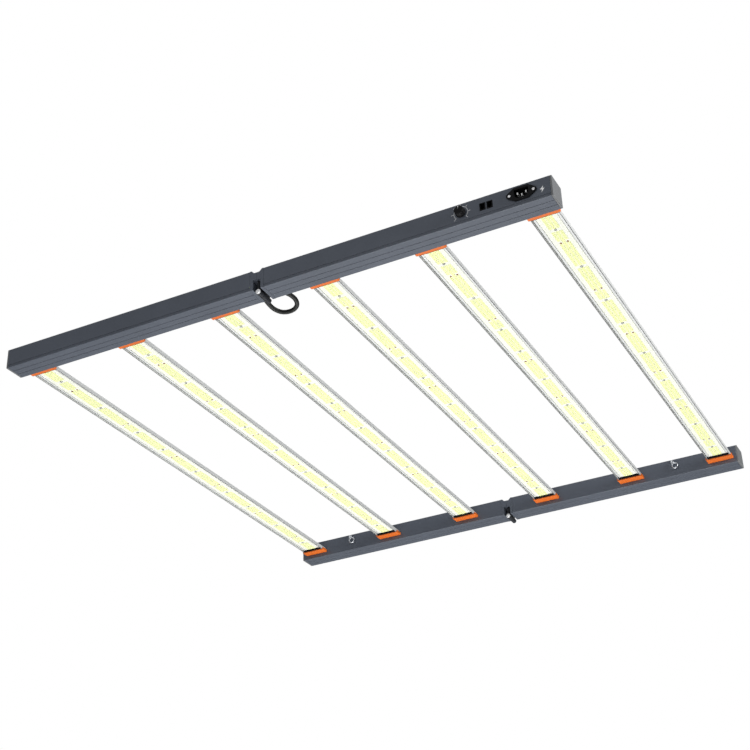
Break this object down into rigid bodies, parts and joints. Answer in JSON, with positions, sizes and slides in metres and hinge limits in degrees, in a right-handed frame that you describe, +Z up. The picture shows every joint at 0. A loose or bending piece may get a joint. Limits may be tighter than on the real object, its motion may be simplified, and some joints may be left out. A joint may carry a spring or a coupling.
{
  "type": "led grow light",
  "caption": "Folding grow light: slim LED bars in orange brackets span a pair of box rails hinged at the middle, with mains inlet, dimmer knob and control jacks on one rail.",
  "frame": {"origin": "middle of the light on the surface it rests on, LED side down, under the hinge barrels", "axes": "+X along the rails towards the mains inlet, +Y from the near (power) rail to the far rail, +Z up, away from the LEDs"},
  "size_m": [1.05, 1.121, 0.045],
  "materials": {
    "rail_paint": "satin",
    "end_cap": "satin",
    "hinge_steel": "satin",
    "pin_steel": "polished",
    "hook_steel": "satin",
    "bracket_orange": "satin",
    "bar_aluminium": "satin",
    "led_board": "satin",
    "driver_case": "satin",
    "inlet_black": "satin",
    "contact_metal": "polished",
    "screw_steel": "polished",
    "jack_black": "satin",
    "potentiometer_case": "satin",
    "knob_black": "matte",
    "lead_rubber": "matte",
    "gland_black": "matte"
  },
  "bodies": {
    "right_half": {"dimmer_jack_pair": "jack_black", "dimmer_potentiometer": "potentiometer_case", "driver_right": "driver_case", "far_bracket_4": "bracket_orange", "far_bracket_5": "bracket_orange", "far_bracket_6": "bracket_orange", "far_end_cap_right": "end_cap", "far_hanging_hook_right": "hook_steel", "far_hinge_block_right": "rail_paint", "far_hinge_leaf_right": "hinge_steel", "far_hinge_pin": "pin_steel", "far_rail_right": "rail_paint", "inlet_contact_earth": "contact_metal", "inlet_contact_line": "contact_metal", "inlet_contact_neutral": "contact_metal", "inlet_screw_left": "screw_steel", "inlet_screw_right": "screw_steel", "jumper_lead": "lead_rubber", "lead_gland_right": "gland_black", "led_bar_4": "bar_aluminium", "led_bar_5": "bar_aluminium", "led_bar_6": "bar_aluminium", "led_board_4": "led_board", "led_board_5": "led_board", "led_board_6": "led_board", "mains_inlet": "inlet_black", "near_bracket_4": "bracket_orange", "near_bracket_5": "bracket_orange", "near_bracket_6": "bracket_orange", "near_end_cap_right": "end_cap", "near_hanging_hook_right": "hook_steel", "near_hinge_block_right": "rail_paint", "near_hinge_leaf_right": "hinge_steel", "near_hinge_pin": "pin_steel", "near_rail_right": "rail_paint"},
    "left_half": {"driver_left": "driver_case", "far_bracket_1": "bracket_orange", "far_bracket_2": "bracket_orange", "far_bracket_3": "bracket_orange", "far_end_cap_left": "end_cap", "far_hanging_hook_left": "hook_steel", "far_hinge_block_left": "rail_paint", "far_hinge_leaf_left": "hinge_steel", "far_rail_left": "rail_paint", "lead_gland_left": "gland_black", "led_bar_1": "bar_aluminium", "led_bar_2": "bar_aluminium", "led_bar_3": "bar_aluminium", "led_board_1": "led_board", "led_board_2": "led_board", "led_board_3": "led_board", "near_bracket_1": "bracket_orange", "near_bracket_2": "bracket_orange", "near_bracket_3": "bracket_orange", "near_end_cap_left": "end_cap", "near_hanging_hook_left": "hook_steel", "near_hinge_block_left": "rail_paint", "near_hinge_leaf_left": "hinge_steel", "near_rail_left": "rail_paint"},
    "dimmer_knob": {"dimmer_knob": "knob_black"}
  },
  "joints": [
    {"name": "fold", "type": "hinge", "parent": "right_half", "child": "left_half", "pos_m": [0, 0.0055, 0.005], "axis": [0, -1, 0], "range_deg": [0, 180], "deforming": ["jumper_lead"]},
    {"name": "dimmer_turn", "type": "hinge", "parent": "right_half", "child": "dimmer_knob", "pos_m": [0.3725, -0.555, 0.0275], "axis": [0, 1, 0], "range_deg": [-135, 135]}
  ]
}
